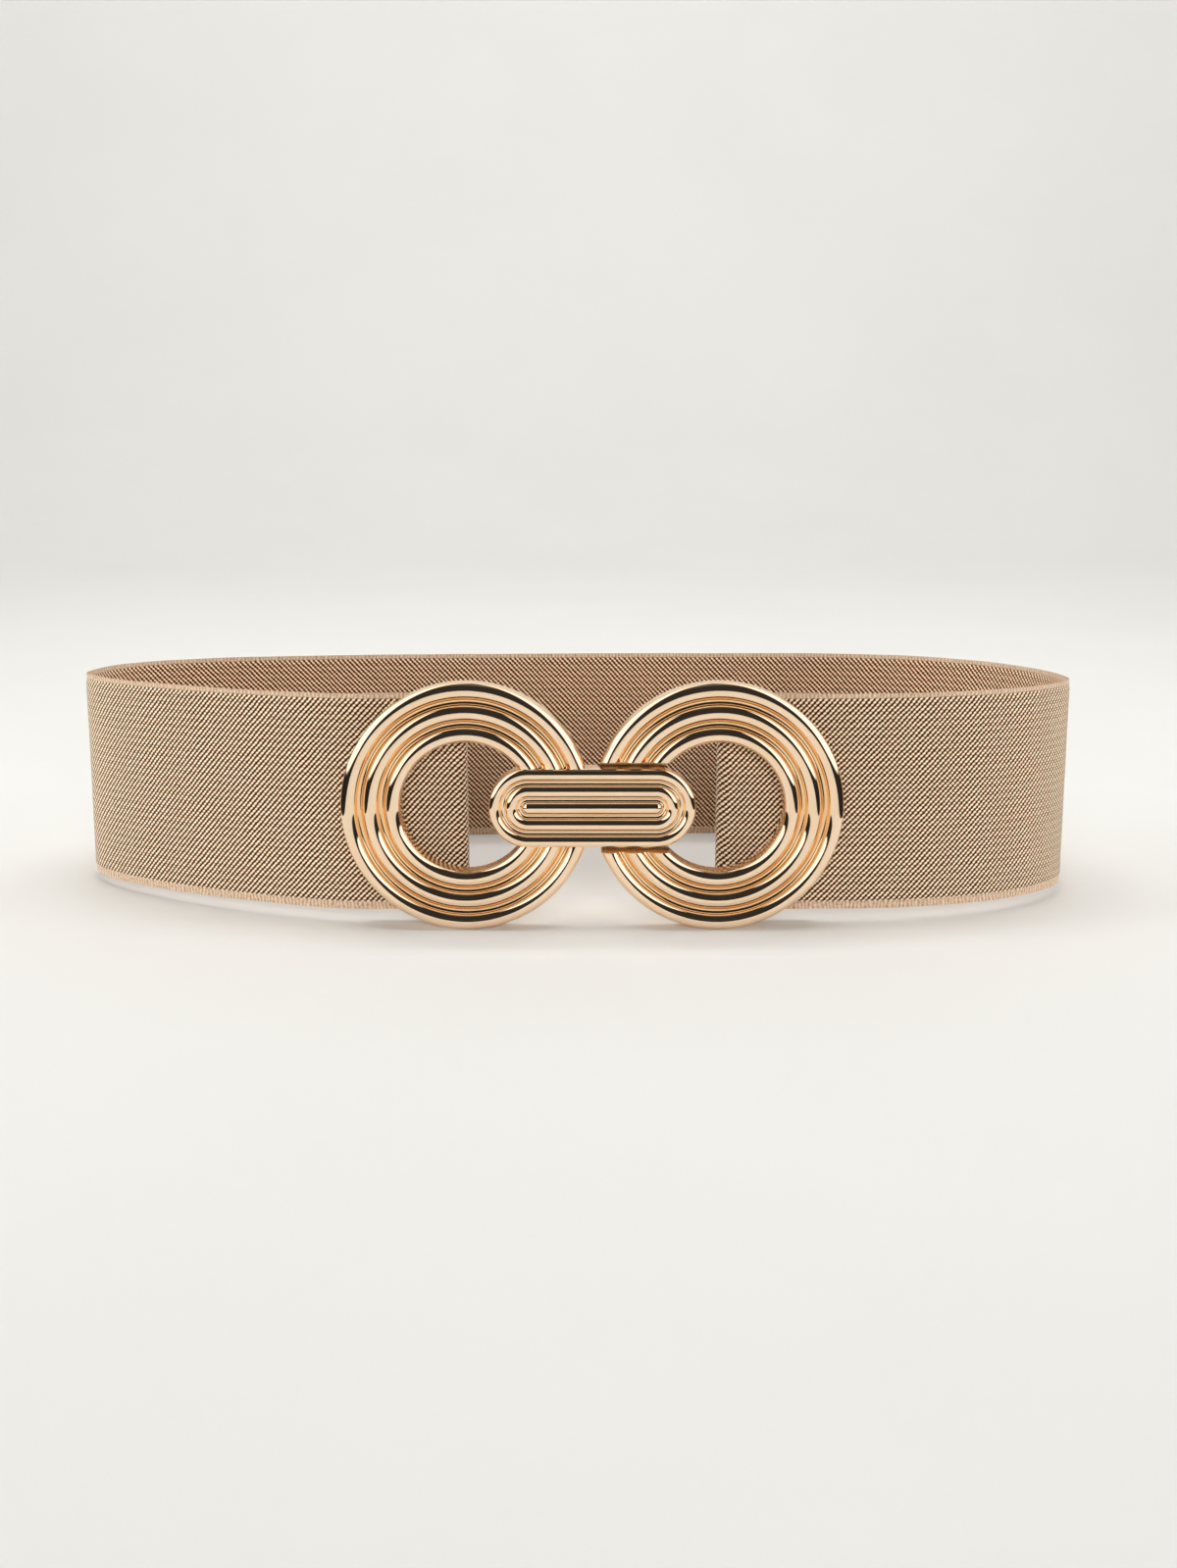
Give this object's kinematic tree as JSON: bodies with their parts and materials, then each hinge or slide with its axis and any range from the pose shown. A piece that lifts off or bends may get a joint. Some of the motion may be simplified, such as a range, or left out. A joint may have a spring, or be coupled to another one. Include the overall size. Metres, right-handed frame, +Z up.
{
  "type": "elastic stretch belt",
  "caption": "Wide elastic waist belt in woven tan webbing, fastened in front by two ridged gold rings that a ridged oblong bar hooks together, standing on its edge in a loop.",
  "frame": {"origin": "on the surface the belt stands on, under the middle of its bounding box", "axes": "+X to the right of someone facing the buckle, +Y away from them, +Z up"},
  "size_m": [0.29, 0.1096, 0.0682],
  "materials": {
    "webbing": "coarse twill weave of tan and brown elastic",
    "gold": "polished light gold plating on a zinc casting"
  },
  "bodies": {
    "root": {"elastic_band": "webbing", "left_clasp": "gold", "right_clasp": "gold"}
  },
  "joints": []
}
